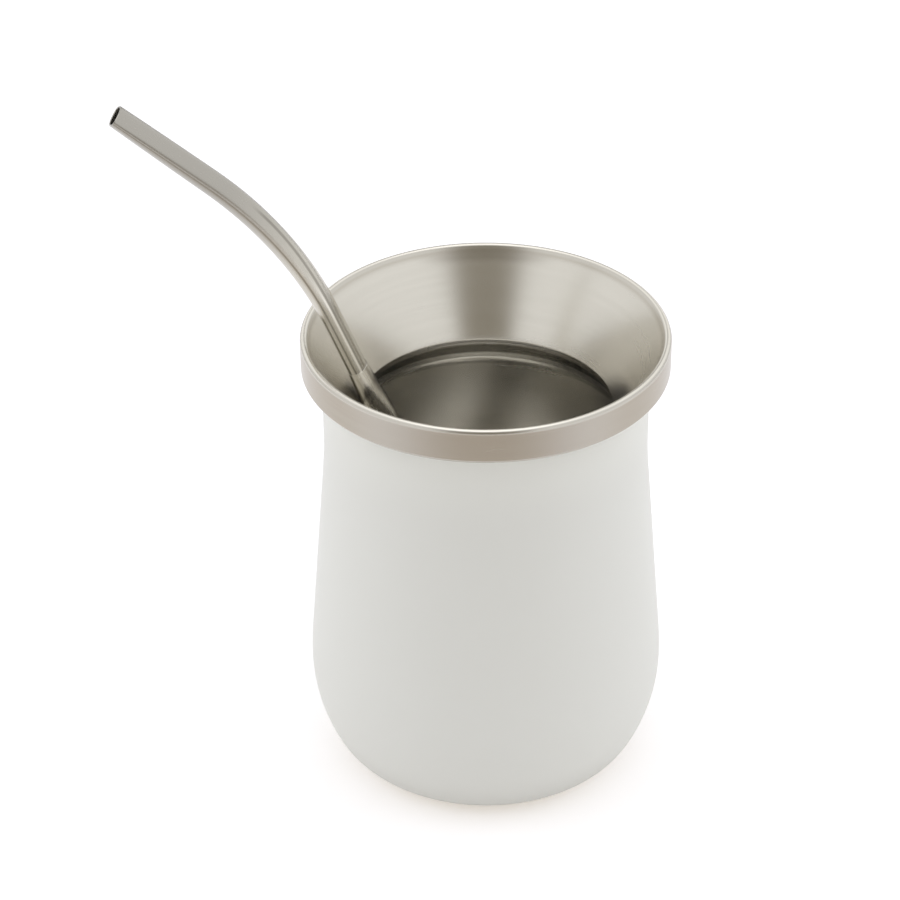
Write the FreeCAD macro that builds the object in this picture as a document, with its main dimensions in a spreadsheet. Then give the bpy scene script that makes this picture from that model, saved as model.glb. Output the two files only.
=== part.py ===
"""Mate cup: double-walled steel cup with a drinking straw standing in it.

The cup is a turned shape about the Z axis and rests on z = 0 with its centre at the origin.
The straw stands in a plane parallel to XZ: its tip is on the floor of the cup, it leans on the
throat, and it bends away over the rim towards -X. Lengths are in millimetres, angles in degrees.
"""
import FreeCAD, Part
import math
import os
import re
import Sketcher

Vector = FreeCAD.Vector

SIZES = {
    # Cup as a whole
    "cup_height": 106.2,
    "seat_gap": 0.2,
    # Outer shell: foot, belly, taper and neck
    "shell_wall": 0.6,
    "belly_radius": 40.0,
    "belly_height": 22.0,
    "corner_round": 9.0,
    "low_belly_round": 38.0,
    "high_belly_round": 80.0,
    "neck_inset": 4.4,
    "neck_drop": 25.0,
    "neck_round": 90.0,
    "foot_width": 5.9,
    # Inner liner: rolled rim, funnel, throat and pot
    "liner_wall": 0.5,
    "rim_overhang": 4.4,
    "lip_bend": 0.35,
    "band_height": 7.8,
    "band_bend": 0.3,
    "throat_inset": 7.9,
    "throat_depth": 19.0,
    "throat_bend": 0.9,
    "shoulder_inset": 3.0,
    "shoulder_round": 4.0,
    "shoulder_drop": 8.5,
    "pot_inset": 4.4,
    "pot_floor": 9.0,
    "pot_floor_round": 14.0,
    # Base plate: a pressed disc with a raised pan
    "plate_wall": 0.6,
    "plate_lap": 3.0,
    "pan_inset": 7.0,
    "pan_rise": 1.4,
    "pan_bend": 0.6,
    "pan_slope": 3.2,
    # Straw as a whole
    "straw_lean": 22.4,
    "straw_bend": 28.7,
    "straw_side": 1.2,
    "straw_gap": 0.3,
    "bend_round": 81.5,
    "tube_wall": 0.4,
    "tube_in_sleeve": 3.2,
    "tube_below_bend": 13.8,
    "tube_above_bend": 24.2,
    # Oval sections of the tube, wide along Y: half width, half thickness and edge round
    "neck_wide": 3.3,
    "neck_thick": 2.2,
    "neck_edge": 1.7,
    "bend_wide": 3.3,
    "bend_thick": 2.5,
    "bend_edge": 1.9,
    "mouth_wide": 3.75,
    "mouth_thick": 2.05,
    "mouth_edge": 1.0,
    "mouth_round": 0.15,
    # Strainer: a thin-edged sleeve on the tube, a stem, a perforated spoon and a nose. The
    # stem and the spoon are flattened the other way, wide along X.
    "strainer_wall": 0.3,
    "sleeve_gap": 0.05,
    "sleeve_rim": 0.12,
    "sleeve_length": 3.6,
    "sleeve_height": 4.7,
    "stem_drop": 6.0,
    "stem_wide": 3.4,
    "stem_thick": 2.3,
    "stem_edge": 2.05,
    "spoon_length": 38.0,
    "spoon_wide": 5.6,
    "spoon_thick": 3.4,
    "spoon_edge": 2.2,
    "nose_length": 8.0,
    "hole_radius": 0.65,
    "hole_pitch": 2.8,
    "hole_row_pairs": 6,
}

doc = FreeCAD.newDocument("mate_cup")
sizes = doc.addObject("Spreadsheet::Sheet", "sizes")
for row, (word, number) in enumerate(SIZES.items(), start=1):
    sizes.set(f"A{row}", word)
    sizes.set(f"B{row}", str(number))
    sizes.setAlias(f"B{row}", word)
doc.recompute()


def bound(formula):
    """A formula of size names as an expression on the sheet."""
    return re.sub(r"[a-z_]+", lambda m: "sizes." + m[0] if m[0] in SIZES else m[0], formula)


def new_body(name, placement=None):
    body = doc.addObject("PartDesign::Body", name)
    body.Label = name
    if placement:
        body.setExpression("Placement", bound(placement))
    return body


def new_sketch(body, name, role="XZ_Plane", offset=None):
    """A sketch on one of the body's own planes, moved on it by a placement formula."""
    sketch = body.newObject("Sketcher::SketchObject", name)
    plane = next(item for item in body.Origin.OriginFeatures if item.Role == role)
    sketch.AttachmentSupport = (plane, [""])
    sketch.MapMode = "FlatFace"
    if offset:
        sketch.setExpression("AttachmentOffset", bound(offset))
    doc.recompute()
    return sketch


def bind(sketch, kind, target, formula, name):
    """Bind a distance from the sketch's origin, or a radius, to a formula of sizes."""
    if formula == "0":
        axis = -2 if kind == "DistanceX" else -1
        sketch.addConstraint(Sketcher.Constraint("PointOnObject", *target, axis))
        return
    base = () if kind == "Radius" else (-1, 1)
    start = float(sketch.evalExpression(bound(formula)))
    index = sketch.addConstraint(Sketcher.Constraint(kind, *base, *target, start))
    sketch.renameConstraint(index, name)
    sketch.setExpression("Constraints." + name, bound(formula))


class Corner:
    """A corner of an outline: a sharp point, or an arc about a centre.

    turn is 1 for an arc that turns left, -1 for one that turns right and 0 for a sharp point.
    touch says that the arc runs straight on from the one before, with no line between them.
    hold names the coordinates that are set; tangency finds the others.
    """

    def __init__(self, x, z, radius="0", turn=0, touch=False, hold="xz"):
        self.x = x
        self.z = z
        self.radius = radius
        self.turn = turn
        self.touch = touch
        self.hold = hold


def left(x, z, radius, **options):
    return Corner(x, z, radius, 1, **options)


def right(x, z, radius, **options):
    return Corner(x, z, radius, -1, **options)


def draw(sketch, corners):
    """Draw the closed outline of tangent lines and arcs round the corners."""

    def number(formula):
        return float(sketch.evalExpression(bound(formula)))

    centres = [Vector(number(c.x), number(c.z), 0) for c in corners]
    signed = [c.turn * number(c.radius) for c in corners]
    arrive = {}
    leave = {}
    steps = [(i, (i + 1) % len(corners)) for i in range(len(corners))]
    for i, j in steps:
        way = centres[j] - centres[i]
        grow = signed[j] - signed[i]
        if corners[j].touch:
            normal = way / grow
        else:
            heading = math.atan2(way.y, way.x) - math.asin(grow / way.Length)
            normal = Vector(-math.sin(heading), math.cos(heading), 0)
        leave[i] = centres[i] - normal * signed[i]
        arrive[j] = centres[j] - normal * signed[j]

    # The end of each arc that the outline reaches first, and the end that it leaves by
    first = {}
    last = {}
    arcs = {}
    for i, corner in enumerate(corners):
        if not corner.turn:
            continue
        ends = (arrive[i], leave[i])[:: corner.turn]
        angles = [math.atan2(p.y - centres[i].y, p.x - centres[i].x) for p in ends]
        circle = Part.Circle(centres[i], Vector(0, 0, 1), abs(signed[i]))
        arcs[i] = sketch.addGeometry(Part.ArcOfCircle(circle, *angles))
        first[i], last[i] = ((arcs[i], 1), (arcs[i], 2))[:: corner.turn]

    joints = []
    marks = {}
    for i, j in steps:
        if corners[j].touch:
            joints.append(Sketcher.Constraint("Tangent", *last[i], *first[j]))
            continue
        line = sketch.addGeometry(Part.LineSegment(leave[i], arrive[j]))
        for k, end, ends in ((i, 1, last), (j, 2, first)):
            if corners[k].turn:
                joints.append(Sketcher.Constraint("Tangent", *ends[k], line, end))
            elif k in marks:
                joints.append(Sketcher.Constraint("Coincident", *marks[k], line, end))
            else:
                marks[k] = (line, end)
    sketch.addConstraint(joints)

    for i, corner in enumerate(corners):
        target = (arcs[i], 3) if corner.turn else marks[i]
        if "x" in corner.hold:
            bind(sketch, "DistanceX", target, corner.x, f"corner_{i}_x")
        if "z" in corner.hold:
            bind(sketch, "DistanceY", target, corner.z, f"corner_{i}_z")
        if corner.turn:
            bind(sketch, "Radius", (arcs[i],), corner.radius, f"corner_{i}_round")
    doc.recompute()


def turned_sheet(name, face, wall, side, far_start, far_end):
    """Turn a sheet of steel about the Z axis.

    face runs along one face of the sheet from edge to edge. side is 1 where the sheet's other
    face lies to the left of that run, and -1 where it lies to the right. far_start and far_end
    are the other face's own edges.
    """
    back = [far_end]
    for i in range(len(face) - 2, 0, -1):
        corner = face[i]
        round_there = f"{corner.radius} {'-' if corner.turn == side else '+'} {wall}"
        touch = face[i + 1].touch
        back.append(Corner(corner.x, corner.z, round_there, -corner.turn, touch, corner.hold))
    back.append(far_start)
    body = new_body(name)
    sketch = new_sketch(body, name + "_outline")
    draw(sketch, face + back)
    form = body.newObject("PartDesign::Revolution", name + "_form")
    form.Profile = (sketch, [""])
    form.ReferenceAxis = (sketch, ["V_Axis"])
    form.Angle = 360
    doc.recompute()
    return body


# Places that more than one piece depends on

NECK = "(belly_radius - neck_inset)"
LOW_BELLY_X = "(belly_radius - low_belly_round)"
FOOT_FLAT = (
    f"({LOW_BELLY_X} + sqrt((low_belly_round - corner_round) ^ 2"
    " - (belly_height - corner_round) ^ 2))"
)
FOOT_HOLE = f"({FOOT_FLAT} - foot_width)"
LIP_ROUND = "(lip_bend + liner_wall)"
LIP_X = f"({NECK} + rim_overhang - {LIP_ROUND})"
LIP_LEVEL = f"(cup_height - {LIP_ROUND})"
BAND_ROUND = "(band_bend + liner_wall)"
BAND_LEVEL = "(cup_height - band_height)"
THROAT_ROUND = "(throat_bend + liner_wall)"
THROAT_X = f"({NECK} - throat_inset + {THROAT_ROUND})"
THROAT_LEVEL = "(cup_height - throat_depth)"
FUNNEL_SLOPE = f"(({LIP_LEVEL} - {THROAT_LEVEL}) / ({LIP_X} - {THROAT_X}))"
# The shell ends inside the rim, a seat gap below the back of the funnel
SHELL_REACH = f"({NECK} - shell_wall - {THROAT_X})"
BACK_SPACE = (
    f"(throat_bend - seat_gap + (lip_bend - throat_bend) * {SHELL_REACH} / ({LIP_X} - {THROAT_X}))"
)
SHELL_TOP = (
    f"({THROAT_LEVEL} + {SHELL_REACH} * {FUNNEL_SLOPE}"
    f" + {BACK_SPACE} * sqrt(1 + {FUNNEL_SLOPE} ^ 2))"
)

# Outer shell: a pressed cup with an open foot, drawn in under the rim

shell = turned_sheet(
    "outer_shell",
    [
        Corner(FOOT_HOLE, "0"),
        left(FOOT_FLAT, "corner_round", "corner_round", hold="z"),
        left(LOW_BELLY_X, "belly_height", "low_belly_round", touch=True, hold="z"),
        left("belly_radius - high_belly_round", "belly_height", "high_belly_round", touch=True),
        right(f"{NECK} + neck_round", "cup_height - neck_drop", "neck_round"),
        Corner(NECK, SHELL_TOP),
    ],
    wall="shell_wall",
    side=1,
    far_start=Corner(FOOT_HOLE, "shell_wall"),
    far_end=Corner(f"{NECK} - shell_wall", SHELL_TOP),
)

# Inner liner: pot, throat, funnel, rolled lip and the band that closes on the shell's neck

BAND_END = f"{NECK} + seat_gap"
BAND_X = f"{NECK} + rim_overhang - {BAND_ROUND}"

liner = turned_sheet(
    "inner_liner",
    [
        Corner("0", "pot_floor"),
        left(
            "belly_radius - pot_inset - pot_floor_round",
            "pot_floor + pot_floor_round",
            "pot_floor_round",
        ),
        left(
            f"{NECK} - shoulder_inset - shoulder_round",
            f"{THROAT_LEVEL} - shoulder_drop",
            "shoulder_round",
        ),
        right(THROAT_X, THROAT_LEVEL, THROAT_ROUND),
        right(LIP_X, LIP_LEVEL, LIP_ROUND),
        right(BAND_X, f"{BAND_LEVEL} + {BAND_ROUND}", BAND_ROUND),
        Corner(BAND_END, BAND_LEVEL),
    ],
    wall="liner_wall",
    side=-1,
    far_start=Corner("0", "pot_floor - liner_wall"),
    far_end=Corner(BAND_END, f"{BAND_LEVEL} + liner_wall"),
)

# Base plate: a disc with a raised pan, lying on the shell's foot from inside

PLATE_EDGE = f"{FOOT_HOLE} + plate_lap"
PLATE_TOP = "(shell_wall + plate_wall)"
PAN_TOP = f"({PLATE_TOP} + pan_rise)"
PAN_X = f"({FOOT_HOLE} - pan_inset)"
PAN_ROUND = "(pan_bend + plate_wall)"

plate = turned_sheet(
    "base_plate",
    [
        Corner("0", PAN_TOP),
        right(PAN_X, f"{PAN_TOP} - {PAN_ROUND}", PAN_ROUND),
        left(f"{PAN_X} + pan_slope", f"{PLATE_TOP} + pan_bend", "pan_bend"),
        Corner(PLATE_EDGE, PLATE_TOP),
    ],
    wall="plate_wall",
    side=-1,
    far_start=Corner("0", f"{PAN_TOP} - plate_wall"),
    far_end=Corner(PLATE_EDGE, "shell_wall"),
)

# Both pieces of the straw share one frame. Its origin is on the straw's axis where the stem
# leans on the throat, its Z axis runs up the straw and its Y axis is the cup's.

SLEEVE_HALF = "(neck_thick + sleeve_gap + strainer_wall)"
LEAN_HALF = (
    f"({SLEEVE_HALF} + (stem_wide - {SLEEVE_HALF}) * sleeve_height / (sleeve_height + stem_drop))"
)
LEAN_REACH = f"({THROAT_ROUND} + {LEAN_HALF} + straw_gap)"
STRAW_X = f"({LEAN_REACH} * cos(straw_lean) - sqrt({THROAT_X} ^ 2 - straw_side ^ 2))"
STRAW_Z = f"({THROAT_LEVEL} + {LEAN_REACH} * sin(straw_lean))"
STRAW_PLACE = (
    f"placement(vector({STRAW_X}; straw_side; {STRAW_Z});"
    " rotation(vector(0; 1; 0); -straw_lean))"
)
JOINT = "(sleeve_height + sleeve_length)"


def flat_round(wide, thick, edge):
    """The round of an oval's two flat sides, which run on from the rounds of its edges."""
    return f"((({wide} - {edge}) ^ 2 + {thick} ^ 2 - {edge} ^ 2) / (2 * ({thick} - {edge})))"


def wide_along_x(part, more=""):
    """The half sizes of an oval along X and Y, and the rounds of its sides there."""
    wide, thick, edge = (f"({part}_{word}{more})" for word in ("wide", "thick", "edge"))
    return wide, thick, edge, flat_round(wide, thick, edge)


def wide_along_y(part, more=""):
    """The same for an oval that is wide the other way."""
    half_x, half_y, round_x, round_y = wide_along_x(part, more)
    return half_y, half_x, round_y, round_x


def oval(body, name, section, inset, offset):
    """An oval of four touching arcs across the straw, moved in from a section by an inset."""
    half_x, half_y, round_x, round_y = (f"({size}{inset})" for size in section)
    sketch = new_sketch(body, name, "XY_Plane", offset)
    corners = [
        left(f"{half_x} - {round_x}", "0", round_x, touch=True, hold=""),
        left("0", f"{half_y} - {round_y}", round_y, touch=True),
        left(f"{round_x} - {half_x}", "0", round_x, touch=True, hold=""),
        left("0", f"{round_y} - {half_y}", round_y, touch=True),
    ]
    draw(sketch, corners)
    return sketch


def level(height):
    """The offset of a section at a height on the straw's axis."""
    return f"placement(vector(0; 0; {height}); rotation(vector(0; 1; 0); 0))"


def extruded(body, kind, name, sketch, length, down=False):
    """Extrude a section along the straw's axis, up it or down it."""
    feature = body.newObject("PartDesign::" + kind, name)
    feature.Profile = (sketch, [""])
    feature.Reversed = (kind == "Pocket") != down
    feature.setExpression("Length", bound(length))
    doc.recompute()


def swept(body, kind, name, path, sections):
    """Sweep changing sections along a path."""
    pipe = body.newObject("PartDesign::" + kind, name)
    pipe.Profile = (sections[0], [""])
    pipe.Spine = (path, [])
    pipe.Transformation = "Multisection"
    pipe.Sections = [(sketch, [""]) for sketch in sections[1:]]
    doc.recompute()


def lofted(body, kind, name, sections):
    """Join sections at different levels with straight sides."""
    loft = body.newObject("PartDesign::" + kind, name)
    loft.Profile = (sections[0], [""])
    loft.Sections = [(sketch, [""]) for sketch in sections[1:]]
    loft.Ruled = True
    doc.recompute()


# Straw tube: straight out of the sleeve, round the bend and straight to the flat mouth

tube = new_body("straw_tube", STRAW_PLACE)
BEND_START = f"({JOINT} + tube_below_bend)"
MOUTH_X = "(bend_round * (cos(straw_bend) - 1) - tube_above_bend * sin(straw_bend))"
MOUTH_Z = (
    f"({BEND_START} + bend_round * sin(straw_bend) + tube_above_bend * cos(straw_bend))"
)

# The path has a vertex half way round the bend, where the section is roundest
path = new_sketch(tube, "tube_path")
start, half, full = [
    float(path.evalExpression(bound(text)))
    for text in (BEND_START, "straw_bend / 2", "straw_bend")
]
bend_round = SIZES["bend_round"]
circle = Part.Circle(Vector(-bend_round, start, 0), Vector(0, 0, 1), bend_round)
lower_arc = path.addGeometry(Part.ArcOfCircle(circle, 0, math.radians(half)))
upper_arc = path.addGeometry(
    Part.ArcOfCircle(circle, math.radians(half), math.radians(full))
)
turn_end = circle.value(math.radians(full))
along = Vector(-math.sin(math.radians(full)), math.cos(math.radians(full)), 0)
leading = path.addGeometry(
    Part.LineSegment(turn_end, turn_end + along * SIZES["tube_above_bend"])
)
path.addConstraint(
    [
        Sketcher.Constraint("Tangent", lower_arc, 2, upper_arc, 1),
        Sketcher.Constraint("Tangent", upper_arc, 2, leading, 1),
        Sketcher.Constraint("Equal", lower_arc, upper_arc),
    ]
)
bind(path, "DistanceX", (lower_arc, 1), "0", "foot_x")
bind(path, "DistanceY", (lower_arc, 1), BEND_START, "foot_z")
bind(path, "DistanceX", (lower_arc, 3), "-bend_round", "centre_x")
bind(path, "DistanceY", (lower_arc, 3), BEND_START, "centre_z")
bind(path, "DistanceX", (upper_arc, 1), "bend_round * (cos(straw_bend / 2) - 1)", "half_x")
bind(path, "DistanceX", (leading, 1), "bend_round * (cos(straw_bend) - 1)", "full_x")
bind(path, "DistanceX", (leading, 2), MOUTH_X, "mouth_x")
doc.recompute()

HALF_BEND = (
    "placement(vector(bend_round * (cos(straw_bend / 2) - 1); 0;"
    f" {BEND_START} + bend_round * sin(straw_bend / 2));"
    " rotation(vector(0; 1; 0); -straw_bend / 2))"
)
MOUTH = f"placement(vector({MOUTH_X}; 0; {MOUTH_Z}); rotation(vector(0; 1; 0); -straw_bend))"
TUBE_SECTIONS = [("neck", level(BEND_START)), ("bend", HALF_BEND), ("mouth", MOUTH)]
for word, straight, curved, inset in (
    ("form", "Pad", "AdditivePipe", ""),
    ("bore", "Pocket", "SubtractivePipe", " - tube_wall"),
):
    ovals = [
        oval(tube, f"{part}_{word}", wide_along_y(part), inset, place)
        for part, place in TUBE_SECTIONS
    ]
    extruded(tube, straight, f"straight_{word}", ovals[0], "tube_in_sleeve + tube_below_bend", True)
    swept(tube, curved, f"bent_{word}", path, ovals)

# The edges of the open mouth are rounded on both faces of the wall
mouth = Vector(*[float(path.evalExpression(bound(text))) for text in (MOUTH_X, "0", MOUTH_Z)])
facing = Vector(along.x, 0, along.y)
form = tube.Tip
edges = [
    f"Edge{i}"
    for i, edge in enumerate(form.Shape.Edges, start=1)
    if all(abs((vertex.Point - mouth).dot(facing)) < 1e-4 for vertex in edge.Vertexes)
]
rounded = tube.newObject("PartDesign::Fillet", "mouth_edges")
rounded.Base = (form, edges)
rounded.setExpression("Radius", bound("mouth_round"))
doc.recompute()

# Strainer: one pressed piece, from the sleeve round the tube down to the closed nose

strainer = new_body("straw_strainer", STRAW_PLACE)
# The nose ends on the pot's floor, half an ellipsoid seen along the lean of the straw
NOSE_DROP = "sqrt((nose_length * cos(straw_lean)) ^ 2 + (spoon_wide * sin(straw_lean)) ^ 2)"
SPOON_END = f"(-({STRAW_Z} - pot_floor - straw_gap - {NOSE_DROP}) / cos(straw_lean))"
SLEEVE_RIM = wide_along_y("neck", " + sleeve_gap + sleeve_rim")
SLEEVE = wide_along_y("neck", " + sleeve_gap + strainer_wall")
STEM = wide_along_x("stem")
SPOON = wide_along_x("spoon")


def nose(share):
    """The nose's section at a share of its length, narrowed from the spoon's."""
    narrowed = tuple(f"{size} * sqrt(1 - {share} ^ 2)" for size in SPOON)
    return f"nose_{share * 100:.0f}", f"{SPOON_END} - nose_length * {share}", narrowed


SLEEVE_TOP_STATION = ("sleeve_top", JOINT, SLEEVE_RIM)
SLEEVE_END_STATION = ("sleeve_end", "sleeve_height", SLEEVE)
SPOON_TOP_STATION = ("spoon_top", f"{SPOON_END} + spoon_length", SPOON)
SPOON_END_STATION = ("spoon_end", SPOON_END, SPOON)
STEM_STATIONS = [SLEEVE_END_STATION, ("stem", "-stem_drop", STEM), SPOON_TOP_STATION]
NOSE_STATIONS = [SPOON_END_STATION, nose(0.4), nose(0.7), nose(0.9)]


def sections(name, stations, inset):
    return [
        oval(strainer, f"{name}_{word}", section, inset, level(height))
        for word, height, section in stations
    ]


for word, straight, ruled, inset, nose_stations in (
    ("form", "Pad", "AdditiveLoft", "", NOSE_STATIONS),
    ("hollow", "Pocket", "SubtractiveLoft", " - strainer_wall", NOSE_STATIONS[:-1]),
):
    outline = sections(f"spoon_{word}", [SPOON_END_STATION], inset)[0]
    extruded(strainer, straight, f"spoon_{word}", outline, "spoon_length")
    lofted(strainer, ruled, f"stem_{word}", sections(f"stem_{word}", STEM_STATIONS, inset))
    lofted(strainer, ruled, f"nose_{word}", sections(f"nose_{word}", nose_stations, inset))

# The sleeve's bore is straight, and its outside thins towards the rim
rim_sections = sections("sleeve_form", [SLEEVE_END_STATION, SLEEVE_TOP_STATION], "")
lofted(strainer, "AdditiveLoft", "sleeve_form", rim_sections)
bore = sections("sleeve_bore", [SLEEVE_END_STATION], " - strainer_wall")[0]
extruded(strainer, "Pocket", "sleeve_bore", bore, "sleeve_length")

# Two rows of holes, three and two across, repeated up the spoon
ROW = f"({SPOON_END} + 2 * hole_pitch)"
holes = new_sketch(strainer, "strainer_holes_outline", "XZ_Plane")
spots = [("0", ROW), ("hole_pitch", ROW), ("-hole_pitch", ROW)]
spots += [(f"{sign}hole_pitch / 2", f"{ROW} - hole_pitch") for sign in ("", "-")]
for i, (across, height) in enumerate(spots):
    centre = [float(holes.evalExpression(bound(text))) for text in (across, height)]
    circle = Part.Circle(Vector(*centre, 0), Vector(0, 0, 1), SIZES["hole_radius"])
    spot = holes.addGeometry(circle)
    bind(holes, "DistanceX", (spot, 3), across, f"spot_{i}_x")
    bind(holes, "DistanceY", (spot, 3), height, f"spot_{i}_z")
    bind(holes, "Radius", (spot,), "hole_radius", f"spot_{i}_round")
doc.recompute()
pierced = strainer.newObject("PartDesign::Pocket", "strainer_holes")
pierced.Profile = (holes, [""])
pierced.Type = "ThroughAll"
pierced.SideType = "Symmetric"
doc.recompute()
rows = strainer.newObject("PartDesign::LinearPattern", "strainer_hole_rows")
rows.Originals = [pierced]
rows.Direction = (holes, ["V_Axis"])
rows.Mode = "Spacing"
rows.setExpression("Offset", bound("2 * hole_pitch"))
rows.setExpression("Occurrences", bound("hole_row_pairs"))
strainer.Tip = rows
doc.recompute()

# Every piece must be one sound solid before it is written out

os.makedirs("parts", exist_ok=True)
doc.recompute()
for item in doc.Objects:
    if {"Invalid", "Error"} & set(item.State):
        raise RuntimeError(f"{item.Name} did not build")
    if item.TypeId == "Sketcher::SketchObject" and not item.FullyConstrained:
        raise RuntimeError(f"{item.Name} is not fully constrained")
for body in (shell, liner, plate, tube, strainer):
    shape = body.Shape
    if shape.isNull() or not shape.isValid() or len(shape.Solids) != 1 or shape.Volume <= 0:
        raise RuntimeError(f"{body.Label} is not one valid solid")
    shape.exportStep(f"parts/{body.Label}.step")
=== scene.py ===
"""Looks of a white double-walled mate cup with a bent metal straw.

The sizes of the cup and the straw are in millimetres and are scaled to metres where a mesh is
made. Places on the stage are in metres.
"""

import math

import bmesh
import bpy
from mathutils import Matrix, Vector


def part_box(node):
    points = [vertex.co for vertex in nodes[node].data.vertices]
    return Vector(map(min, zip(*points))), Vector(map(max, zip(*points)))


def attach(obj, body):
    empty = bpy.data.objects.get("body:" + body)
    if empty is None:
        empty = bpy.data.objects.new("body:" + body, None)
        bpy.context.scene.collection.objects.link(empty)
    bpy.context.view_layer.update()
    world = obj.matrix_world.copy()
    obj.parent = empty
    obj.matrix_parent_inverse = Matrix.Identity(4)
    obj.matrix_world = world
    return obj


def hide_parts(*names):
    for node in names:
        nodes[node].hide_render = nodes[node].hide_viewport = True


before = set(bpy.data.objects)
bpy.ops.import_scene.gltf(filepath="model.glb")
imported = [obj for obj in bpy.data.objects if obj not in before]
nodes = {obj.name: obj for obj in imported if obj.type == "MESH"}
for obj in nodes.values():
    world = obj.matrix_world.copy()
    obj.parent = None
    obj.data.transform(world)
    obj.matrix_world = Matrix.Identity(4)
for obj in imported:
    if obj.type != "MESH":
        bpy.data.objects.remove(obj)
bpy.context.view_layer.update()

MM = 0.001

# Sizes of the cup's white outer shell

HEIGHT = 106.2
SHELL_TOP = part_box("outer_shell")[1][2] / MM
SHELL_WALL = 0.6
BELLY_RADIUS = 40.0
BELLY_HEIGHT = 22.0
CORNER_ROUND = 9.0
LOW_BELLY_ROUND = 38.0
HIGH_BELLY_ROUND = 80.0
NECK_RADIUS = 35.6
NECK_DROP = 25.0
NECK_ROUND = 90.0
FOOT_WIDTH = 5.9

# Sizes of the steel liner. Its bends are measured on the face that is seen.

LINER_WALL = 0.5
RIM_OVERHANG = 4.4
SEAT_GAP = 0.2
LIP_BEND = 0.85
BAND_HEIGHT = 7.8
BAND_BEND = 0.8
THROAT_INSET = 7.9
THROAT_DEPTH = 19.0
THROAT_BEND = 1.4
SHOULDER_INSET = 3.0
SHOULDER_DROP = 8.5
SHOULDER_ROUND = 4.0
POT_INSET = 4.4
POT_FLOOR = 9.0
POT_FLOOR_ROUND = 14.0
THROAT_X = NECK_RADIUS - THROAT_INSET + THROAT_BEND
THROAT_Z = HEIGHT - THROAT_DEPTH

# Sizes of the base plate with its raised pan

PLATE_WALL = 0.6
PLATE_LAP = 3.0
PAN_INSET = 7.0
PAN_RISE = 1.4
PAN_BEND = 0.6
PAN_SLOPE = 3.2

# Sizes of the straw. An oval is given by its half width, half thickness and edge radius.

LEAN = math.radians(22.4)
BEND = math.radians(28.7)
SIDE = 1.2
STRAW_GAP = 0.3
BEND_ROUND = 81.5
BELOW_BEND = 13.8
ABOVE_BEND = 24.2
ARC = BEND_ROUND * BEND
MOUTH = ARC + ABOVE_BEND
TUBE_WALL = 0.4
TUBE_LAP = 3.2
TUBE_NECK = (3.3, 2.2, 1.7)
TUBE_BEND = (3.3, 2.5, 1.9)
TUBE_MOUTH = (3.75, 2.05, 1.0)
MOUTH_ROUND = 0.15
SLEEVE_WALL = 0.3
SLEEVE_GAP = 0.05
SLEEVE_RIM = 0.12
SLEEVE_FOOT = 4.7
SLEEVE_TOP = 8.3
STEM_DROP = 6.0
STEM = (3.4, 2.3, 2.05)
SPOON = (5.6, 3.4, 2.2)
SPOON_LENGTH = 38.0
NOSE_LENGTH = 8.0
BEND_START = SLEEVE_TOP + BELOW_BEND
TUBE_FOOT = -BELOW_BEND - TUBE_LAP

# How finely the meshes are cut

ARC_STEP = 6.0
TURN_STEPS = 288
SHARP_ANGLE = 30.0
OVAL_STEPS = 24
OVAL_POINTS = 4 * OVAL_STEPS


# Shader maths

class Value:
    """A number on a node's socket. Arithmetic on it adds Math nodes."""

    def __init__(self, shader, socket):
        self.shader = shader
        self.socket = socket

    def math(self, operation, *others):
        sockets = dict(enumerate((self, *others)))
        return self.shader.node("ShaderNodeMath", {"operation": operation}, sockets).out()

    def __add__(self, other):
        return self.math("ADD", other)

    def __sub__(self, other):
        return self.math("SUBTRACT", other)

    def __mul__(self, other):
        return self.math("MULTIPLY", other)

    def __pow__(self, other):
        return self.math("POWER", other)

    def __rsub__(self, other):
        sockets = {0: other, 1: self}
        return self.shader.node("ShaderNodeMath", {"operation": "SUBTRACT"}, sockets).out()

    __radd__ = __add__
    __rmul__ = __mul__


class Made:
    """A node that has been made, with its outputs by name or number."""

    def __init__(self, shader, node):
        self.shader = shader
        self.node = node

    def out(self, name=0):
        return Value(self.shader, self.node.outputs[name])


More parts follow.
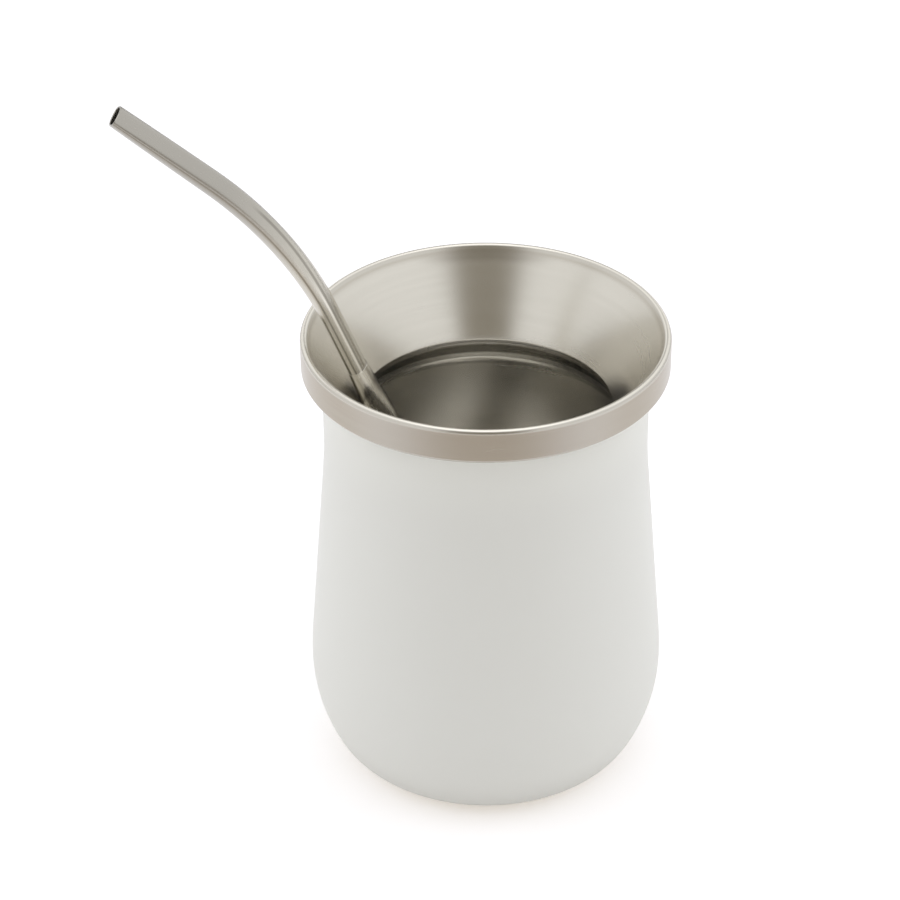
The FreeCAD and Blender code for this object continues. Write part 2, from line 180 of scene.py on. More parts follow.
class Shader:
    """The node tree of a material or of the world."""

    def __init__(self, owner):
        owner.use_nodes = True
        self.tree = owner.node_tree
        self.tree.nodes.clear()

    def node(self, kind, settings=None, sockets=None):
        """Make a node: its settings first, then the values or links of its sockets."""
        made = self.tree.nodes.new(kind)
        for name, value in (settings or {}).items():
            setattr(made, name, value)
        for name, value in (sockets or {}).items():
            socket = made.inputs[name]
            if isinstance(value, Value):
                self.tree.links.new(value.socket, socket)
            elif isinstance(value, tuple) and len(value) == 3 and socket.type == "RGBA":
                socket.default_value = (*value, 1.0)
            else:
                socket.default_value = value
        return Made(self, made)

    def mix(self, factor, first, second):
        """Mix two colours. Inputs 6 and 7 and output 2 are the node's colour sockets."""
        settings = {"data_type": "RGBA"}
        sockets = {"Factor": factor, 6: first, 7: second}
        return self.node("ShaderNodeMix", settings, sockets).out(2)

    def noise(self, vector, scale, detail, roughness=0.5):
        sockets = {"Vector": vector, "Scale": scale, "Detail": detail, "Roughness": roughness}
        return self.node("ShaderNodeTexNoise", None, sockets).out(0)

    def smooth(self, value, low, high, out_low=0.0, out_high=1.0):
        """Go smoothly from one value to another."""
        settings = {"interpolation_type": "SMOOTHSTEP"}
        sockets = {"Value": value, 1: low, 2: high, 3: out_low, 4: out_high}
        return self.node("ShaderNodeMapRange", settings, sockets).out()

    def between(self, value, rise, fall):
        """1 between a smooth rise and a smooth fall, which are each a start and an end."""
        return self.smooth(value, *rise) * (1.0 - self.smooth(value, *fall))

    def attribute(self, name):
        return self.node("ShaderNodeAttribute", {"attribute_name": name}).out("Fac")

    def place(self):
        """Coordinates in the object's own frame, and its x, y and z."""
        vector = self.node("ShaderNodeTexCoord").out("Object")
        split = self.node("ShaderNodeSeparateXYZ", None, {0: vector})
        return vector, split.out(0), split.out(1), split.out(2)

    def join(self, x, y, z):
        return self.node("ShaderNodeCombineXYZ", None, {0: x, 1: y, 2: z}).out()

    def bump(self, height, strength, distance):
        sockets = {"Strength": strength, "Distance": distance, "Height": height}
        return self.node("ShaderNodeBump", None, sockets).out()

    def surface(self, **sockets):
        """The main shader. Names are its sockets', with spaces as underscores."""
        named = {name.replace("_", " "): value for name, value in sockets.items()}
        bsdf = self.node("ShaderNodeBsdfPrincipled", None, named)
        self.node("ShaderNodeOutputMaterial", None, {"Surface": bsdf.out()})


def new_shader(name):
    material = bpy.data.materials.new(name)
    return material, Shader(material)


def under(height, low, high):
    """Heights in metres that lie low and high under a height, all three in millimetres."""
    return (height - low) * MM, (height - high) * MM


# Materials

def powder_coat():
    """White powder coating: an even satin white with a very fine grain."""
    material, sh = new_shader("white powder coating")
    vector, x, y, z = sh.place()
    grain = sh.noise(vector, 900.0, 2.0)
    cloud = sh.noise(vector, 24.0, 2.0)
    white = sh.mix(cloud, (0.800, 0.808, 0.790), (0.818, 0.826, 0.808))
    # Painted light whitens the coat up the neck, and painted shade greys its lower edge a touch
    white = sh.mix(sh.smooth(z, 0.078, 0.096), white, (0.86, 0.87, 0.845))
    edge = 1.0 - sh.smooth(z, 0.0, 0.014)
    colour = sh.mix(edge * 0.5, white, (0.67, 0.67, 0.65))
    sh.surface(
        Base_Color=colour,
        Roughness=0.48 + (cloud - 0.5) * 0.06 + (grain - 0.5) * 0.06,
        Normal=sh.bump(grain, 0.10, 0.00003),
        Specular_IOR_Level=0.4,
    )
    return material


def turned_steel():
    """Steel finely brushed in rings round the cup's axis, with light and shade painted in, such as a
    paler pot.
    """
    material, sh = new_shader("steel brushed round the axis")
    vector, x, y, z = sh.place()
    radius = (x * x + y * y) ** 0.5
    angle = y.math("ARCTAN2", x)
    fine = sh.noise(sh.join(radius * 900.0, z * 900.0, angle * 1.5), 1.0, 2.0)
    broad = sh.noise(sh.join(radius * 300.0, z * 300.0, angle * 1.2), 1.0, 2.0)
    cloud = sh.noise(vector, 40.0, 2.0)
    # Painted light: the funnel is given a paler tone than the lip of the same steel
    lip = sh.mix(cloud, (0.56, 0.535, 0.485), (0.59, 0.565, 0.51))
    funnel = sh.mix(cloud, (0.69, 0.665, 0.605), (0.72, 0.695, 0.635))
    inside = 1.0 - sh.smooth(radius, 0.0374, 0.0388)
    steel = sh.mix(inside, lip, funnel)
    # Painted reflection: a warm band, paler in front. Painted highlight: the lip's crest
    band = (1.0 - inside) * (1.0 - sh.smooth(z, *under(HEIGHT, 1.2, 0.5)))
    band_front = sh.mix(cloud, (0.470, 0.437, 0.390), (0.490, 0.455, 0.408))
    band_sides = sh.mix(cloud, (0.395, 0.350, 0.285), (0.415, 0.370, 0.305))
    band_reflection_tone = sh.mix(sh.smooth(y, -0.037, -0.025), band_front, band_sides)
    steel = sh.mix(band, steel, band_reflection_tone)
    crest_highlight = sh.smooth(z, *under(HEIGHT, 0.26, 0.08))
    steel = sh.mix(crest_highlight, steel, (0.82, 0.79, 0.72))
    # A strip of painted dark reflection runs under the lip at the back of the funnel
    back_reflection_strip = sh.between(z, under(HEIGHT, 4.0, 2.2), under(HEIGHT, 1.4, 0.6))
    back_reflection_strip = back_reflection_strip * sh.smooth(y, 0.0335, 0.0365)
    steel = sh.mix(back_reflection_strip * inside * 0.6, steel, (0.45, 0.42, 0.37))
    brushed = sh.mix((fine - 0.5) * 0.3 + 0.2, steel, (0.57, 0.545, 0.49))
    # Painted light pales the pot, and painted shade darkens it towards its floor
    pot = 1.0 - sh.smooth(z, *under(THROAT_Z, 3.4, 0.6))
    deep_shade = 1.0 - sh.smooth(z, *under(THROAT_Z, 31.2, 17.2))
    pot_painted_tone = sh.mix(deep_shade, (0.93, 0.91, 0.855), (0.74, 0.72, 0.67))
    colour = sh.mix(pot, brushed, pot_painted_tone)
    # Painted shade darkens the foot of the shoulder against the wall under it
    shoulder_shade = sh.between(z, under(THROAT_Z, 9.0, 8.5), under(THROAT_Z, 7.8, 7.0))
    colour = sh.mix(shoulder_shade * 0.5, colour, (0.50, 0.49, 0.46))
    # Painted shade makes a dark line under the throat; the back of the throat's edge is burnished
    throat_shade_line = sh.between(z, under(THROAT_Z, 5.3, 4.2), under(THROAT_Z, 1.6, 0.8))
    colour = sh.mix(throat_shade_line, colour, (0.25, 0.235, 0.195))
    edge = sh.between(z, under(THROAT_Z, 1.2, 0.5), under(THROAT_Z, -0.6, -1.4)) * inside
    edge = edge * sh.smooth(y, 0.020, 0.0265)
    sh.surface(
        Base_Color=colour,
        Metallic=1.0 - edge * 0.35,
        Roughness=0.26 + (broad - 0.5) * 0.05 + (fine - 0.5) * 0.04,
        Normal=sh.bump(broad, 0.01, 0.00001),
    )
    return material


# The colour of the painted highlights on the straw
HIGHLIGHT_COLOUR = (0.98, 0.95, 0.88)


def painted_tube_reflections(sh, steel):
    """The tube's painted dark reflection lines and painted highlight. ridge and along are its mesh's
    attributes.
    """
    ridge = sh.attribute("ridge")
    along = sh.attribute("along")
    # Painted reflection: a dark line along the front edge, and a second one beside it
    front = 1.0 - sh.smooth(ridge.math("ABSOLUTE"), 0.6, 2.0)
    front = front * sh.smooth(along, 10.0, 34.0, 0.7, 0.4)
    # The second line leaves the edge at the bend and runs down to the sleeve
    course = sh.smooth(along, -2.0, 28.0, 13.0, 18.0)
    side = 1.0 - sh.smooth((ridge - course).math("ABSOLUTE"), 0.6, 2.2)
    side = side * (1.0 - sh.smooth(along, 27.0, 32.0))
    steel = sh.mix(front.math("MAXIMUM", side * 0.7), steel, (0.20, 0.185, 0.155))
    # A painted highlight runs beside the second line down to the sleeve
    painted_highlight = 1.0 - sh.smooth((ridge - course + 4.0).math("ABSOLUTE"), 0.8, 2.6)
    painted_highlight = painted_highlight * (1.0 - sh.smooth(along, 2.0, 14.0))
    return sh.mix(painted_highlight * 0.9, steel, HIGHLIGHT_COLOUR)


def strainer_highlight(sh, x, y, z, steel):
    """The painted highlight line down the strainer's front where it widens."""
    course = sh.smooth(z, -0.012, 0.0083, 0.0032, 0.0006)
    painted_highlight = 1.0 - sh.smooth((x - course).math("ABSOLUTE"), 0.0003, 0.0010)
    painted_highlight = painted_highlight * (1.0 - sh.smooth(y, -0.0012, 0.0)) * sh.smooth(z, -0.012, -0.003)
    return sh.mix(painted_highlight * 0.9, steel, HIGHLIGHT_COLOUR)


def drawn_steel(name, is_tube):
    """Steel polished along the straw, with painted light: darker towards the mouth of the tube."""
    material, sh = new_shader(name)
    vector, x, y, z = sh.place()
    fine = sh.noise(sh.join(x * 2200.0, y * 2200.0, z * 45.0), 1.0, 3.0, 0.6)
    cloud = sh.noise(vector, 60.0, 2.0)
    # Painted light: one steel, given a darker tone up the tube and a paler one low down
    upper = sh.mix(cloud, (0.405, 0.387, 0.350), (0.435, 0.417, 0.380))
    lower = sh.mix(cloud, (0.64, 0.61, 0.54), (0.68, 0.65, 0.58))
    if is_tube:
        painted_paler_below = 1.0 - sh.smooth(sh.attribute("along"), 4.0, 40.0)
        steel = painted_tube_reflections(sh, sh.mix(painted_paler_below, upper, lower))
    else:
        steel = strainer_highlight(sh, x, y, z, lower)
    colour = sh.mix((fine - 0.5) * 0.5 + 0.2, steel, (0.44, 0.425, 0.385))
    sh.surface(
        Base_Color=colour,
        Metallic=1.0,
        Roughness=0.26 + (fine - 0.5) * 0.08 + (cloud - 0.5) * 0.04,
        Normal=sh.bump(fine, 0.015, 0.00002),
    )
    return material


WHITE = powder_coat()
LINER_STEEL = turned_steel()
TUBE_STEEL = drawn_steel("straw steel, upper", True)
STRAINER_STEEL = drawn_steel("straw steel, lower", False)


# Outlines and meshes

def outline(corners):
    """Points along the tangent lines and arcs round (x, z, radius, turn, touch) corners.

    turn is 1 for an arc to the left, -1 for one to the right and 0 for a sharp point. touch says
    that an arc runs straight on from the one before.
    """
    ends = [[None, None] for _ in corners]
    for i in range(len(corners) - 1):
        xa, za, ra, ta = corners[i][:4]
        xb, zb, rb, tb = corners[i + 1][:4]
        way = Vector((xb - xa, zb - za))
        grow = tb * rb - ta * ra
        if corners[i + 1][4]:
            normal = way / grow
        else:
            heading = math.atan2(way.y, way.x) - math.asin(grow / way.length)
            normal = Vector((-math.sin(heading), math.cos(heading)))
        ends[i][1] = Vector((xa, za)) - normal * ta * ra
        ends[i + 1][0] = Vector((xb, zb)) - normal * tb * rb
    points = []
    for (x, z, radius, turn, touch), (first, last) in zip(corners, ends):
        if not turn:
            points.append(Vector((x, z)))
            continue
        start, end = (math.atan2(p.y - z, p.x - x) for p in (first, last))
        sweep = (end - start) * turn % math.tau
        by_angle = math.ceil(math.degrees(sweep) / ARC_STEP)
        by_length = math.ceil(sweep * radius / 2.5)
        count = max(3, by_angle, by_length)
        for k in range(count + 1):
            at = start + turn * sweep * k / count
            points.append(Vector((x + radius * math.cos(at), z + radius * math.sin(at))))
    clean = [points[0]]
    for point in points[1:]:
        if (point - clean[-1]).length > 1e-4:
            clean.append(point)
    return clean


def other_face(face, wall, side):
    """The corners of a sheet's other face, a wall away. Arcs that turn to side get tighter."""
    back = []
    for i in range(len(face) - 2, 0, -1):
        x, z, radius, turn, touch = face[i]
        back_radius = radius - wall if turn == side else radius + wall
        back.append((x, z, back_radius, -turn, face[i + 1][4]))
    return back


def shade(mesh):
    """Smooth shading with the sharp edges kept."""
    mesh.polygons.foreach_set("use_smooth", [True] * len(mesh.polygons))
    mesh.set_sharp_from_angle(angle=math.radians(SHARP_ANGLE))


def mesh_object(name, vertices, faces, material):
    mesh = bpy.data.meshes.new(name)
    mesh.from_pydata([Vector(v) * MM for v in vertices], [], faces)
    mesh.validate()
    shade(mesh)
    mesh.materials.append(material)
    made = bpy.data.objects.new(name, mesh)
    bpy.context.scene.collection.objects.link(made)
    return made


def turned(name, points, material):
    """Turn a closed outline about the Z axis. Points on the axis become poles."""
    vertices = []
    rings = []
    for x, z in points:
        if x < 1e-6:
            vertices.append((0, 0, z))
            rings.append([len(vertices) - 1] * TURN_STEPS)
            continue
        rings.append(range(len(vertices), len(vertices) + TURN_STEPS))
        for k in range(TURN_STEPS):
            at = math.tau * k / TURN_STEPS
            vertices.append((x * math.cos(at), x * math.sin(at), z))
    faces = []
    closed = points[0].x > 1e-6
    pairs = zip(rings, rings[1:] + rings[:1]) if closed else zip(rings, rings[1:])
    for lower, upper in pairs:
        for k in range(TURN_STEPS):
            n = (k + 1) % TURN_STEPS
            quad = [lower[k], lower[n], upper[n], upper[k]]
            faces.append(list(dict.fromkeys(quad)))
    return mesh_object(name, vertices, faces, material)


# White outer shell

low_x = BELLY_RADIUS - LOW_BELLY_ROUND
corner_reach = LOW_BELLY_ROUND - CORNER_ROUND
corner_x = low_x + math.sqrt(corner_reach**2 - (BELLY_HEIGHT - CORNER_ROUND) ** 2)
foot_x = corner_x - FOOT_WIDTH
shell_face = [
    (foot_x, 0.0, 0.0, 0, False),
    (corner_x, CORNER_ROUND, CORNER_ROUND, 1, False),
    (low_x, BELLY_HEIGHT, LOW_BELLY_ROUND, 1, True),
    (BELLY_RADIUS - HIGH_BELLY_ROUND, BELLY_HEIGHT, HIGH_BELLY_ROUND, 1, True),
    (NECK_RADIUS + NECK_ROUND, HEIGHT - NECK_DROP, NECK_ROUND, -1, False),
    (NECK_RADIUS, SHELL_TOP, 0.0, 0, False),
]
shell_back = [(NECK_RADIUS - SHELL_WALL, SHELL_TOP, 0.0, 0, False)]
shell_back += other_face(shell_face, SHELL_WALL, 1)
shell_back += [(foot_x, SHELL_WALL, 0.0, 0, False)]
shell = turned("white_shell", outline(shell_face) + outline(shell_back), WHITE)
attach(shell, "root")
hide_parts("outer_shell")

# Steel liner: pot, throat, funnel, rolled lip and band

pot_x = BELLY_RADIUS - POT_INSET - POT_FLOOR_ROUND
shoulder_x = NECK_RADIUS - SHOULDER_INSET - SHOULDER_ROUND
lip_x = NECK_RADIUS + RIM_OVERHANG - LIP_BEND
band_x = NECK_RADIUS + RIM_OVERHANG - BAND_BEND
band_z = HEIGHT - BAND_HEIGHT
seat_x = NECK_RADIUS + SEAT_GAP
liner_face = [
    (0.0, POT_FLOOR, 0.0, 0, False),
    (pot_x, POT_FLOOR + POT_FLOOR_ROUND, POT_FLOOR_ROUND, 1, False),
    (shoulder_x, THROAT_Z - SHOULDER_DROP, SHOULDER_ROUND, 1, False),
    (THROAT_X, THROAT_Z, THROAT_BEND, -1, False),
    (lip_x, HEIGHT - LIP_BEND, LIP_BEND, -1, False),
    (band_x, band_z + BAND_BEND, BAND_BEND, -1, False),
    (seat_x, band_z, 0.0, 0, False),
]
liner_back = [(seat_x, band_z + LINER_WALL, 0.0, 0, False)]
liner_back += other_face(liner_face, LINER_WALL, -1)
liner_back += [(0.0, POT_FLOOR - LINER_WALL, 0.0, 0, False)]
liner_points = outline(liner_face) + outline(liner_back)
liner = turned("steel_liner", liner_points, LINER_STEEL)
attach(liner, "root")
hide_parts("inner_liner")

# Base plate with its raised pan

plate_top = SHELL_WALL + PLATE_WALL
pan_top = plate_top + PAN_RISE
pan_x = foot_x - PAN_INSET
pan_outer = PLATE_WALL + PAN_BEND
plate_face = [
    (0.0, pan_top, 0.0, 0, False),
    (pan_x, pan_top - pan_outer, pan_outer, -1, False),
    (pan_x + PAN_SLOPE, plate_top + PAN_BEND, PAN_BEND, 1, False),
    (foot_x + PLATE_LAP, plate_top, 0.0, 0, False),
]
plate_back = [(foot_x + PLATE_LAP, SHELL_WALL, 0.0, 0, False)]
plate_back += other_face(plate_face, PLATE_WALL, -1)
plate_back += [(0.0, pan_top - PLATE_WALL, 0.0, 0, False)]
plate = turned("base_disc", outline(plate_face) + outline(plate_back), LINER_STEEL)
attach(plate, "root")
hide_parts("base_plate")

# Straw. Its own frame has the origin where the stem leans on the throat and Z up its axis.

sleeve_half = TUBE_NECK[1] + SLEEVE_GAP + SLEEVE_WALL
lean_half = sleeve_half + (STEM[0] - sleeve_half) * SLEEVE_FOOT / (SLEEVE_FOOT + STEM_DROP)
reach = THROAT_BEND + lean_half + STRAW_GAP
straw_origin = Vector(
    (
        reach * math.cos(LEAN) - math.sqrt(THROAT_X**2 - SIDE**2),
        SIDE,
        THROAT_Z + reach * math.sin(LEAN),
    )
)
straw_place = Matrix.Translation(straw_origin * MM) @ Matrix.Rotation(-LEAN, 4, "Y")


def axis_at(s):
    """A point of the straw's axis and its direction, s beyond the bend's start."""
    if s <= 0:
        return Vector((0, 0, BEND_START + s)), Vector((0, 0, 1))
    at = min(s, ARC) / BEND_ROUND
    point = Vector((BEND_ROUND * (math.cos(at) - 1), 0, BEND_START + BEND_ROUND * math.sin(at)))
    way = Vector((-math.sin(at), 0, math.cos(at)))
    return point + way * max(0.0, s - ARC), way


def oval(wide, thick, edge):
    """Points of an oval of four touching arcs, thin along x and wide along y."""
    far = wide - edge
    big = (far**2 + thick**2 - edge**2) / (2 * (thick - edge))
    turn = math.atan2(far, big - thick)
    points = []
    for k in range(OVAL_STEPS):
        at = turn * (2 * k / OVAL_STEPS - 1)
        points.append((thick - big + big * math.cos(at), big * math.sin(at)))
    for k in range(OVAL_STEPS):
        at = turn + (math.pi - 2 * turn) * k / OVAL_STEPS
        points.append((edge * math.cos(at), far + edge * math.sin(at)))
    return points + [(-x, -y) for x, y in points]


def through(s, marks):
    """A value at s on the smooth curve through three (place, value) marks."""
    total = 0.0
    for i, (place, value) in enumerate(marks):
        for k, (other, _) in enumerate(marks):
            if k != i:
                value *= (s - other) / (place - other)
        total += value
    return total


def tube_section(s):
    """The tube's oval: even up to the bend, then flatter and wider towards the mouth."""
    if s <= 0:
        return TUBE_NECK
    sizes = zip(TUBE_NECK, TUBE_BEND, TUBE_MOUTH)
    return [through(s, [(0, a), (ARC / 2, b), (MOUTH, c)]) for a, b, c in sizes]


def loop_at(s, inset, section):
    """An oval across the straw's axis, moved in from the outer face by inset."""
    point, way = axis_at(s)
    across = Vector((way.z, 0, -way.x))
    inner = oval(*(size - inset for size in section))
    return [point + across * x + Vector((0, y, 0)) for x, y in inner]


def skinned(name, loops, material, closed):
    """Skin a run of loops in the straw's frame. closed joins the last loop to the first."""
    vertices = [point for loop in loops for point in loop]
    faces = []
    rows = range(len(loops)) if closed else range(len(loops) - 1)
    for i in rows:
        low = i * OVAL_POINTS
        high = (i + 1) % len(loops) * OVAL_POINTS
        for k in range(OVAL_POINTS):
            n = (k + 1) % OVAL_POINTS
            faces.append((low + k, low + n, high + n, high + k))
    made = mesh_object(name, vertices, faces, material)
    made.matrix_world = straw_place
    return made


# Straw's tube, with a rounded mouth

RIM_DEPTH = 0.2
ROUND_MIDDLE = 0.3 * MOUTH_ROUND
tube_places = [TUBE_FOOT, -BELOW_BEND, -7.0, 0.0]
tube_places += [ARC * k / 24 for k in range(1, 25)]
tube_places += [ARC + (ABOVE_BEND - RIM_DEPTH) * k / 12 for k in range(1, 13)]
outer_rim = [(0.0, -MOUTH_ROUND), (ROUND_MIDDLE, -ROUND_MIDDLE), (MOUTH_ROUND, 0.0)]
rim = outer_rim + [(TUBE_WALL - inset, drop) for inset, drop in outer_rim[::-1]]
tube_loops = [loop_at(s, 0.0, tube_section(s)) for s in tube_places]
tube_loops += [loop_at(MOUTH + drop, inset, tube_section(MOUTH)) for inset, drop in rim]
tube_loops += [loop_at(s, TUBE_WALL, tube_section(s)) for s in reversed(tube_places)]
tube = skinned("straw_upper", tube_loops, TUBE_STEEL, True)

# ridge counts an oval's points from the middle of its front edge, along is the place on the axis
front_edge = 3 * OVAL_STEPS + OVAL_STEPS // 2
half_loop = OVAL_POINTS // 2
one_ridge = [(k - front_edge + half_loop) % OVAL_POINTS - half_loop for k in range(OVAL_POINTS)]
loop_places = tube_places + [MOUTH + drop for inset, drop in rim] + tube_places[::-1]
ridge = [float(count) for count in one_ridge] * len(tube_loops)
along = [float(s) for s in loop_places for k in range(OVAL_POINTS)]
for name, values in (("ridge", ridge), ("along", along)):
    tube.data.attributes.new(name, "FLOAT", "POINT").data.foreach_set("value", values)
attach(tube, "root")
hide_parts("straw_tube")

# Strainer: a smooth skin from the sleeve to the spoon, and the CAD's own pierced spoon and nose

nose_drop = math.hypot(NOSE_LENGTH * math.cos(LEAN), SPOON[0] * math.sin(LEAN))
tip_depth = (straw_origin.z - POT_FLOOR - STRAW_GAP - nose_drop) / math.cos(LEAN)
SPOON_TOP = SPOON_LENGTH - tip_depth
CUT = SPOON_TOP + 0.5


def eased(z, low, high):
    """Go smoothly from 0 at low to 1 at high."""
    share = min(1.0, max(0.0, (z - low) / (high - low)))
    return share * share * (3 - 2 * share)


def strainer_loop(z, inset):
    """A loop of the strainer: wide along y at the sleeve, wide along x from the stem down."""
    wall = SLEEVE_WALL
    if z > SLEEVE_FOOT:
        wall += (SLEEVE_RIM - SLEEVE_WALL) * (z - SLEEVE_FOOT) / (SLEEVE_TOP - SLEEVE_FOOT)
    sleeve = oval(*(size + SLEEVE_GAP + wall - inset for size in TUBE_NECK))
    if z >= SLEEVE_FOOT:
        points = sleeve
    else:
        slimmer = eased(z, SPOON_TOP, -STEM_DROP)
        flat = oval(*(a + (b - a) * slimmer - inset for a, b in zip(SPOON, STEM)))
        turned_over = [(y, -x) for x, y in flat[OVAL_STEPS:] + flat[:OVAL_STEPS]]
        share = 1 - eased(z, -STEM_DROP, SLEEVE_FOOT)
        pairs = zip(sleeve, turned_over)
        points = [(a + (c - a) * share, b + (d - b) * share) for (a, b), (c, d) in pairs]
    return [Vector((x, y, z)) for x, y in points]


def strainer_skin():
    """The outer face up to the sleeve's rim, the bore for the tube, and the inner face down."""
    stem_top = SLEEVE_FOOT + STEM_DROP
    below = [CUT + (-STEM_DROP - CUT) * k / 20 for k in range(20)]
    below += [-STEM_DROP + stem_top * k / 24 for k in range(24)]
    heights = below + [SLEEVE_FOOT, 6.0, 7.5, SLEEVE_TOP - 0.05]
    loops = [strainer_loop(z, 0.0) for z in heights]
    for z in (SLEEVE_TOP, SLEEVE_FOOT):
        loops.append(loop_at(z - BEND_START, -SLEEVE_GAP, TUBE_NECK))
    loops += [strainer_loop(z, SLEEVE_WALL) for z in reversed(below)]
    return skinned("straw_lower", loops, STRAINER_STEEL, False)


def join_spoon(strainer):
    """Add the part of the CAD's strainer below the cut to the mesh of the skin."""
    source = nodes["straw_strainer"]
    spoon = bmesh.new()
    spoon.from_mesh(source.data)
    spoon.transform(straw_place.inverted() @ source.matrix_world)
    bmesh.ops.remove_doubles(spoon, verts=spoon.verts, dist=1e-6)
    bmesh.ops.bisect_plane(
        spoon,
        geom=spoon.verts[:] + spoon.edges[:] + spoon.faces[:],
        plane_co=(0, 0, CUT * MM),
        plane_no=(0, 0, 1),
        clear_outer=True,
    )
    for face in spoon.faces:
        face.material_index = 0
    spoon.from_mesh(strainer.data)
    spoon.to_mesh(strainer.data)
    spoon.free()
    shade(strainer.data)


strainer = strainer_skin()
join_spoon(strainer)
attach(strainer, "root")
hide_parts("straw_strainer")

# Stage: a plain pale floor that keeps the cup's shadow, a white background and grey cards

FLOOR_SHARE = 0.80
WORLD_LEVEL = 0.80
CAMERA_TILT = math.radians(33.17)


def shown_rays(sh):
    """1 for a ray that comes from the camera, a gloss or a clear surface."""
    rays = sh.node("ShaderNodeLightPath")
    shown = rays.out("Is Camera Ray").math("MAXIMUM", rays.out("Is Glossy Ray"))
    return shown.math("MAXIMUM", rays.out("Is Transmission Ray"))


def floor_material():
    """A white floor. The rays that show it see white, less the shadow of the object."""
    material, sh = new_shader("plain white floor")
    shown = shown_rays(sh)
    # The shadow is warm: where the light that it takes away is bluish, the rest is yellowish
    colour = sh.mix(shown, (0.90, 0.88, 0.85), (0.80, 0.86, 1.0))
    plain = sh.node("ShaderNodeBsdfDiffuse", None, {"Color": colour})
    glow = {"Color": (1.0, 0.897, 0.747), "Strength": 2.57}
    bright = sh.node("ShaderNodeEmission", None, glow)
    sockets = {0: shown * (1.0 - FLOOR_SHARE), 1: plain.out(), 2: bright.out()}
    mixed = sh.node("ShaderNodeMixShader", None, sockets)
    sh.node("ShaderNodeOutputMaterial", None, {"Surface": mixed.out()})
    return material


def card_material(name, colour, mask):
    """A card of the given colour, clear where the mask over its own coordinates is 0."""
    material, sh = new_shader(name)
    if callable(colour):
        colour = colour(sh)
    grey = sh.node("ShaderNodeEmission", None, {"Color": colour, "Strength": 1.0})
    clear = sh.node("ShaderNodeBsdfTransparent")
    sockets = {0: mask(sh), 1: clear.out(), 2: grey.out()}
    shown = sh.node("ShaderNodeMixShader", None, sockets)
    sh.node("ShaderNodeOutputMaterial", None, {"Surface": shown.out()})
    return material


def stage_object(name, vertices, faces, material, seen):
    """A piece of the studio. One that isn't seen shows only in mirror and clear rays."""
    mesh = bpy.data.meshes.new(name)
    mesh.from_pydata(vertices, [], faces)
    mesh.materials.append(material)
    made = bpy.data.objects.new(name, mesh)
    made.visible_camera = seen
    made.visible_diffuse = seen
    made.visible_shadow = seen
    bpy.context.scene.collection.objects.link(made)
    return made


def sheet(name, half_x, half_y, material, seen=False):
    """A flat rectangle of the studio about its own centre."""
    corners = [(-half_x, -half_y, 0), (half_x, -half_y, 0), (half_x, half_y, 0), (-half_x, half_y, 0)]
    return stage_object(name, corners, [(0, 1, 2, 3)], material, seen)


def make_floor():
    floor = sheet("floor", 6.0, 6.0, floor_material(), True)
    floor.location.z = -0.0003


def make_camera_card():
    """The dark side of the studio behind the camera, with soft edges."""
    away, half = 0.95, 0.50

    def mask(sh):
        vector, x, y, z = sh.place()
        across = 1.0 - sh.smooth(x.math("ABSOLUTE"), half * 0.45, half)
        up = 1.0 - sh.smooth(y.math("ABSOLUTE"), half * 0.75, half)
        return across * up

    card = sheet("camera_card", half, half, card_material("dark card", (0.30, 0.275, 0.23), mask))
    card.visible_diffuse = True
    card.location = (0.0, -away * math.cos(CAMERA_TILT), 0.1 + away * math.sin(CAMERA_TILT))
    card.rotation_euler = (math.radians(90.0) - CAMERA_TILT, 0.0, 0.0)


def make_horizon():
    """The gap between the table's edge and the lights: dark at the back, mid grey at the front."""
    away, high, count = 1.1, 0.27, 96

    def mask(sh):
        vector, x, y, z = sh.place()
        back = sh.smooth(y, -0.2, 0.5)
        front = 1.0 - sh.smooth(y, -1.07, -0.92)
        top = sh.smooth(y, -0.6, 0.1, high, 0.08)
        return back.math("MAXIMUM", front) * (1.0 - sh.smooth(z - top, -0.03, 0.0))

    def colour(sh):
        vector, x, y, z = sh.place()
        return sh.mix(sh.smooth(y, -0.4, 0.4), (0.50, 0.46, 0.40), (0.13, 0.12, 0.10))

    vertices = []
    for k in range(count):
        at = math.tau * k / count
        for z in (0.0, high):
            vertices.append((away * math.cos(at), away * math.sin(at), z))
    faces = []
    for k in range(count):
        a, b = 2 * k, 2 * ((k + 1) % count)
        faces.append((a, b, b + 1, a + 1))
    stage_object("horizon", vertices, faces, card_material("dark gap", colour, mask), False)


def make_front_card():
    """The dimmer floor in front of the cup."""

    def mask(sh):
        vector, x, y, z = sh.place()
        radius = (x * x + y * y) ** 0.5
        turn = x.math("ARCTAN2", 0.0 - y)
        front = 1.0 - sh.smooth(turn.math("ABSOLUTE"), math.radians(8), math.radians(72))
        return front * sh.between(radius, (0.10, 0.16), (0.28, 0.46))

    card = sheet("front_card", 1.0, 1.0, card_material("grey card", (0.68, 0.62, 0.545), mask))
    card.location.z = 0.0006


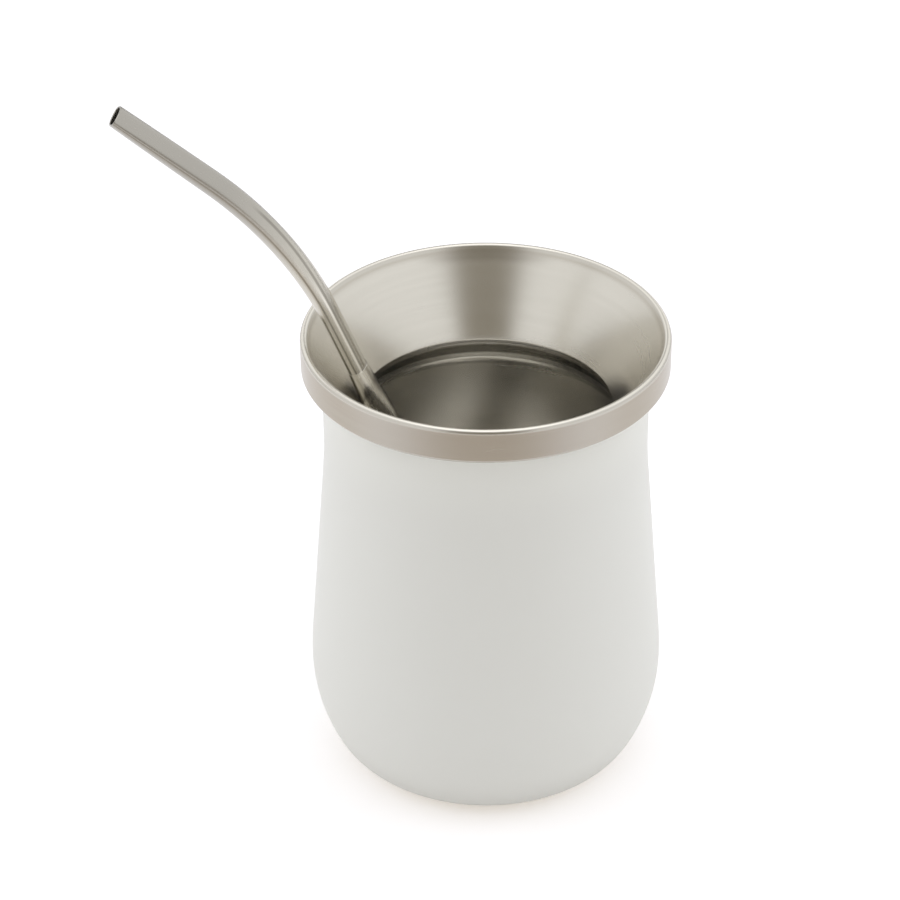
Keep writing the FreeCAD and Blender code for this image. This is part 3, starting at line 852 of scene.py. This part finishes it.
def make_back_card():
    """The darker studio wall behind the cup, which the far edge of the lip mirrors."""
    half_x, half_y = 0.22, 0.34

    def mask(sh):
        vector, x, y, z = sh.place()
        across = 1.0 - sh.smooth(x.math("ABSOLUTE"), 0.08, half_x)
        return across * (1.0 - sh.smooth(y.math("ABSOLUTE"), 0.26, half_y))

    card = sheet("back_card", half_x, half_y, card_material("back card", (0.24, 0.22, 0.19), mask))
    card.location = (0.0, 1.0, 0.42)
    card.rotation_euler = (math.radians(90.0), 0.0, 0.0)


def make_world():
    """Rays that show the background see white. Others see a plain even light."""
    world = bpy.data.worlds.new("studio")
    bpy.context.scene.world = world
    sh = Shader(world)
    strength = WORLD_LEVEL + shown_rays(sh) * (1.0 - WORLD_LEVEL)
    sockets = {"Color": (1.0, 1.0, 1.0), "Strength": strength}
    background = sh.node("ShaderNodeBackground", None, sockets)
    sh.node("ShaderNodeOutputWorld", None, {"Surface": background.out()})


def add_lamp(name, place, size, brightness, mirrored):
    """A square lamp aimed at the cup, with a face of the given brightness, where white is 1."""
    lamp = bpy.data.lights.new(name, "AREA")
    lamp.shape = "RECTANGLE"
    lamp.size = size
    lamp.size_y = size
    lamp.energy = brightness * math.pi * size * size
    made = bpy.data.objects.new(name, lamp)
    made.location = place
    made.visible_glossy = mirrored
    cup_middle = Vector((0.0, 0.0, 0.06))
    made.rotation_euler = (cup_middle - Vector(place)).to_track_quat("-Z", "Y").to_euler()
    bpy.context.scene.collection.objects.link(made)


def make_camera():
    """The camera that was fitted to the photo."""
    data = bpy.data.cameras.new("camera")
    data.sensor_width = 36.0
    data.lens = 112.0
    data.shift_x = -0.0398
    data.clip_start = 0.01
    camera = bpy.data.objects.new("camera", data)
    camera.location = (0.0, -0.5178, 0.4142)
    camera.rotation_euler = (math.radians(90.0) - CAMERA_TILT, 0.0, 0.0)
    bpy.context.scene.collection.objects.link(camera)
    bpy.context.scene.camera = camera


make_floor()
make_camera_card()
make_horizon()
make_front_card()
make_back_card()
make_world()
make_camera()
add_lamp("lamp_left", (-1.0, 0.0, 0.75), 0.9, 0.9, False)
add_lamp("lamp_right", (1.0, 0.0, 0.75), 0.9, 0.9, False)
add_lamp("lamp_top", (0.0, 0.15, 1.2), 0.8, 0.5, True)
bpy.context.scene.view_settings.view_transform = "Standard"
